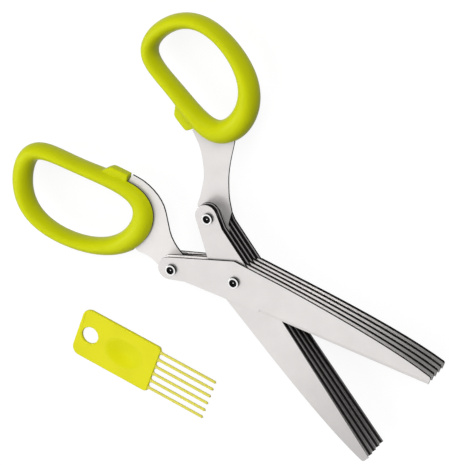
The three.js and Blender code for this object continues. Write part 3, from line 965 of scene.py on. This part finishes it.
def comb_plate():
    """The handle's plate before anything is cut out of it."""
    shape = bmesh.new()
    floor = [shape.verts.new((x * MM, y * MM, 0)) for x, y in comb_outline()]
    face = shape.faces.new(floor)
    raised = bmesh.ops.extrude_face_region(shape, geom=[face])
    tops = [item for item in raised["geom"] if isinstance(item, bmesh.types.BMVert)]
    bmesh.ops.translate(shape, verts=tops, vec=(0, 0, COMB_THICKNESS * MM))
    return linked("comb_plate", mesh_from("comb_plate", shape))


def hang_hole_cutter():
    """A pin that is longer than the plate is thick."""
    hole_x = (HANG_HOLE_INSET - COMB_LENGTH / 2) * MM
    profile = [(0, -COMB_THICKNESS), (HANG_HOLE_RADIUS, -COMB_THICKNESS)]
    profile += [(HANG_HOLE_RADIUS, 2 * COMB_THICKNESS), (0, 2 * COMB_THICKNESS)]
    return linked("hole_cutter", lathed("hole_cutter", profile, Vector((hole_x, 0, 0))))


def thumb_rest_cutter():
    """A round bowl with a soft rim, squeezed to an oval."""
    radius = THUMB_REST_LENGTH / 2
    profile = [(0, COMB_THICKNESS), (radius, COMB_THICKNESS)]
    for i in range(THUMB_REST_RINGS + 1):
        share = 1 - i / THUMB_REST_RINGS
        fall = THUMB_REST_DEPTH * math.cos(QUARTER_TURN * share) ** 2
        profile.append((radius * share, REST_OVERLAP - fall))
    bowl = lathed("rest_cutter", profile, Vector((0, 0, 0)), BOWL_STEPS)
    bowl.transform(Matrix.Diagonal((1, THUMB_REST_WIDTH / THUMB_REST_LENGTH, 1, 1)))
    bowl.transform(Matrix.Translation(Vector((THUMB_REST_LEAD, 0, COMB_THICKNESS)) * MM))
    return linked("rest_cutter", bowl)


def comb_handle_mesh():
    """The plate with its hang hole and shallow thumb rest cut out."""
    plate = comb_plate()
    tools = (hang_hole_cutter(), thumb_rest_cutter())
    for tool in tools:
        cut = plate.modifiers.new("cut", "BOOLEAN")
        cut.operation = "DIFFERENCE"
        cut.solver = "EXACT"
        cut.object = tool
    evaluated = plate.evaluated_get(bpy.context.evaluated_depsgraph_get())
    mesh = bpy.data.meshes.new_from_object(evaluated)
    for used in (plate, *tools):
        bpy.data.objects.remove(used)
    return mesh


def comb_handle_piece(finish):
    mesh = comb_handle_mesh()
    mesh.name = "comb_handle"
    mesh.transform(comb_to_part())
    smooth_by_angle(mesh, COMB_SHARP_ANGLE)
    for polygon in mesh.polygons:
        if abs(polygon.normal.z) > FLAT_NORMAL_SHARE:
            polygon.use_smooth = False
    made = piece(mesh.name, mesh, finish, "comb_plastic", "comb", "cleaning_comb")
    round_edges(made, COMB_EDGE_ROUNDING, COMB_BEVEL_ANGLE)
    return made


def tooth_tree(finish):
    """Equal slim teeth side by side, each with a fillet at its root and a round tip."""
    sizes = ["root_x", "length", "root_radius", "tip_radius", "half_height", "pitch", "height"]
    tree, s = geometry_tree("comb_teeth", sizes)
    points = {
        "Size X": 1,
        "Size Y": TAU,
        "Vertices X": TOOTH_POINTS,
        "Vertices Y": TOOTH_SECTION_POINTS,
    }
    grid = tree.add("GeometryNodeMeshGrid", points).outputs["Mesh"]
    raw_x, around, _ = tree.split(tree.add("GeometryNodeInputPosition").outputs[0])
    share = (raw_x + 0.5) ** TOOTH_ROOT_CROWDING
    x = share * s["length"]
    taper = s["root_radius"] + (s["tip_radius"] - s["root_radius"]) * share
    gap = s["pitch"] * 0.5 - s["root_radius"]
    past = tree.math("MINIMUM", tree.math("MAXIMUM", x - TOOTH_SINK, 0), gap)
    fillet = s["pitch"] * 0.5 - tree.math("MAXIMUM", (gap * 2 - past) * past, 0) ** 0.5
    half_width = tree.math("MAXIMUM", taper, fillet)
    to_tip = tree.math("MINIMUM", (s["length"] - x) / s["tip_radius"], 1)
    tip_round = tree.math("MAXIMUM", 1 - (1 - to_tip) ** 2, 0) ** 0.5
    y = half_width * tip_round * tree.cosine(around)
    z = s["half_height"] * tip_round * tree.sine(around) + s["height"]
    place = tree.joined((x + s["root_x"]) * MM, y * MM, z * MM)
    moved = tree.add("GeometryNodeSetPosition", {"Geometry": grid, "Position": place}).outputs[0]
    line = tree.add(
        "GeometryNodeMeshLine",
        {
            "Count": TOOTH_COUNT,
            "Start Location": tree.joined(0, s["pitch"] * (-0.5 * (TOOTH_COUNT - 1) * MM), 0),
            "Offset": tree.joined(0, s["pitch"] * MM, 0),
        },
        mode="OFFSET",
    )
    instances = {"Points": line.outputs[0], "Instance": smooth_closed(tree, moved)}
    row = tree.add("GeometryNodeInstanceOnPoints", instances).outputs[0]
    finish_tree(tree, row, finish)
    return tree


def comb_teeth_piece(finish):
    sizes = {
        "root_x": COMB_LENGTH / 2 - TOOTH_SINK,
        "length": TOOTH_LENGTH + TOOTH_SINK,
        "root_radius": TOOTH_ROOT_RADIUS,
        "tip_radius": TOOTH_TIP_RADIUS,
        "half_height": TOOTH_HALF_HEIGHT,
        "pitch": TOOTH_PITCH,
        "height": COMB_THICKNESS / 2,
    }
    grown = grown_mesh("comb_teeth", tooth_tree(finish), sizes)
    shape = bmesh.new()
    shape.from_mesh(grown)
    bmesh.ops.holes_fill(shape, edges=shape.edges)
    mesh = mesh_from("comb_teeth_row", shape)
    mesh.transform(comb_to_part())
    mesh.shade_smooth()
    return piece(mesh.name, mesh, finish, "comb_plastic", "comb", "cleaning_comb")


# Stage, light and camera


def seen_ray(tree):
    """1 for rays from the camera, a mirror or glass."""
    path = tree.add("ShaderNodeLightPath").outputs
    seen = tree.math("MAXIMUM", path["Is Camera Ray"], path["Is Glossy Ray"])
    return tree.math("MAXIMUM", seen, path["Is Transmission Ray"])


def make_floor():
    shape = bmesh.new()
    bmesh.ops.create_grid(shape, x_segments=1, y_segments=1, size=FLOOR_SIZE / 2 * MM)
    mesh = mesh_from("floor", shape)
    made, tree, shader = material("white_floor")
    shader.inputs["Base Color"].default_value = FLOOR_COLOUR
    shader.inputs["Roughness"].default_value = 1
    shader.inputs["Specular IOR Level"].default_value = 0
    glow = tree.add("ShaderNodeEmission", {"Strength": seen_ray(tree) * FLOOR_GLOW})
    both = tree.add("ShaderNodeAddShader", {0: shader.outputs[0], 1: glow.outputs[0]})
    tree.feed(made.node_tree.nodes["Material Output"].inputs["Surface"], both.outputs[0])
    mesh.materials.append(made)
    floor = bpy.data.objects.new("floor", mesh)
    bpy.context.scene.collection.objects.link(floor)


def make_light():
    world = bpy.data.worlds.new("white_room")
    world.use_nodes = True
    bpy.context.scene.world = world
    tree = Tree(world.node_tree)
    sky = world.node_tree.nodes["Background"]
    sky.inputs["Color"].default_value = (1, 1, 1, 1)
    tree.feed(sky.inputs["Strength"], AMBIENT_LIGHT + seen_ray(tree) * (1 - AMBIENT_LIGHT))
    for name, (power, size, origin, shines) in LAMPS.items():
        sun = bpy.data.lights.new(name, "SUN")
        sun.energy = power
        sun.angle = math.radians(size)
        lamp = bpy.data.objects.new(name, sun)
        lamp.rotation_mode = "QUATERNION"
        lamp.rotation_quaternion = Vector(origin).to_track_quat("Z", "Y")
        lamp.visible_glossy = shines
        bpy.context.scene.collection.objects.link(lamp)


def make_camera():
    camera = bpy.data.cameras.new("photo_camera")
    camera.sensor_width = SENSOR_WIDTH
    camera.lens = SENSOR_WIDTH * FOCAL_PIXELS / PHOTO_LONG_SIDE
    camera.clip_start = CAMERA_NEAR * MM
    camera.clip_end = CAMERA_FAR * MM
    made = bpy.data.objects.new("photo_camera", camera)
    back = -CAMERA_AIM.normalized()
    right = CAMERA_UP.cross(back).normalized()
    up = back.cross(right)
    turn = Matrix((right, up, back)).transposed().to_4x4()
    made.matrix_world = Matrix.Translation(PIVOT + CAMERA_FROM_PIVOT * MM) @ turn
    bpy.context.scene.collection.objects.link(made)
    bpy.context.scene.camera = made


bpy.context.scene.view_settings.view_transform = "Standard"
make_camera()
make_light()
make_floor()

steels = {(half, kind): blade_steel(half, kind) for half, kind in TIP_SHADES}
for half in LOOPS:
    for number in range(1, BLADE_COUNT + 1):
        blade_piece(half, number, steels)

rivet_piece("finger_rear_rivet", REAR_SHAFT_RADIUS, "finger_half")
rivet_piece("thumb_rear_rivet", REAR_SHAFT_RADIUS, "thumb_half")
rivet_piece("pivot_rivet", PIVOT_SHAFT_RADIUS, "finger_half")

ring_finish = ring_steel()
rings = ring_tree(ring_finish)
for half in LOOPS:
    spacers = [f"{half}_spacer_{number}" for number in range(1, BLADE_COUNT)]
    radii = (SPACER_RADIUS, REAR_SHAFT_RADIUS)
    ring_piece(rings, f"{half}_spacer_rings", f"{half}_half", spacers, *radii, ring_finish)
washers = [f"pivot_washer_{number}" for number in range(1, BLADE_COUNT)]
radii = (WASHER_RADIUS, PIVOT_SHAFT_RADIUS)
ring_piece(rings, "pivot_washer_rings", "finger_half", washers, *radii, ring_finish)

for half in LOOPS:
    name = f"{half}_loop_green"
    loop_piece(half, moulded_plastic(name, LOOP_GREEN, LOOP_ROUGHNESS, LOOP_GRAIN_DEPTH, half=half))

handle_finish = moulded_plastic(
    "comb_plastic_green", COMB_GREEN, COMB_ROUGHNESS, COMB_GRAIN_DEPTH, rest_shade_colour=REST_SHADE_GREEN
)
comb_handle_piece(handle_finish)
teeth_finish = moulded_plastic("comb_teeth_green", TOOTH_GREEN, COMB_ROUGHNESS, COMB_GRAIN_DEPTH)
comb_teeth_piece(teeth_finish)
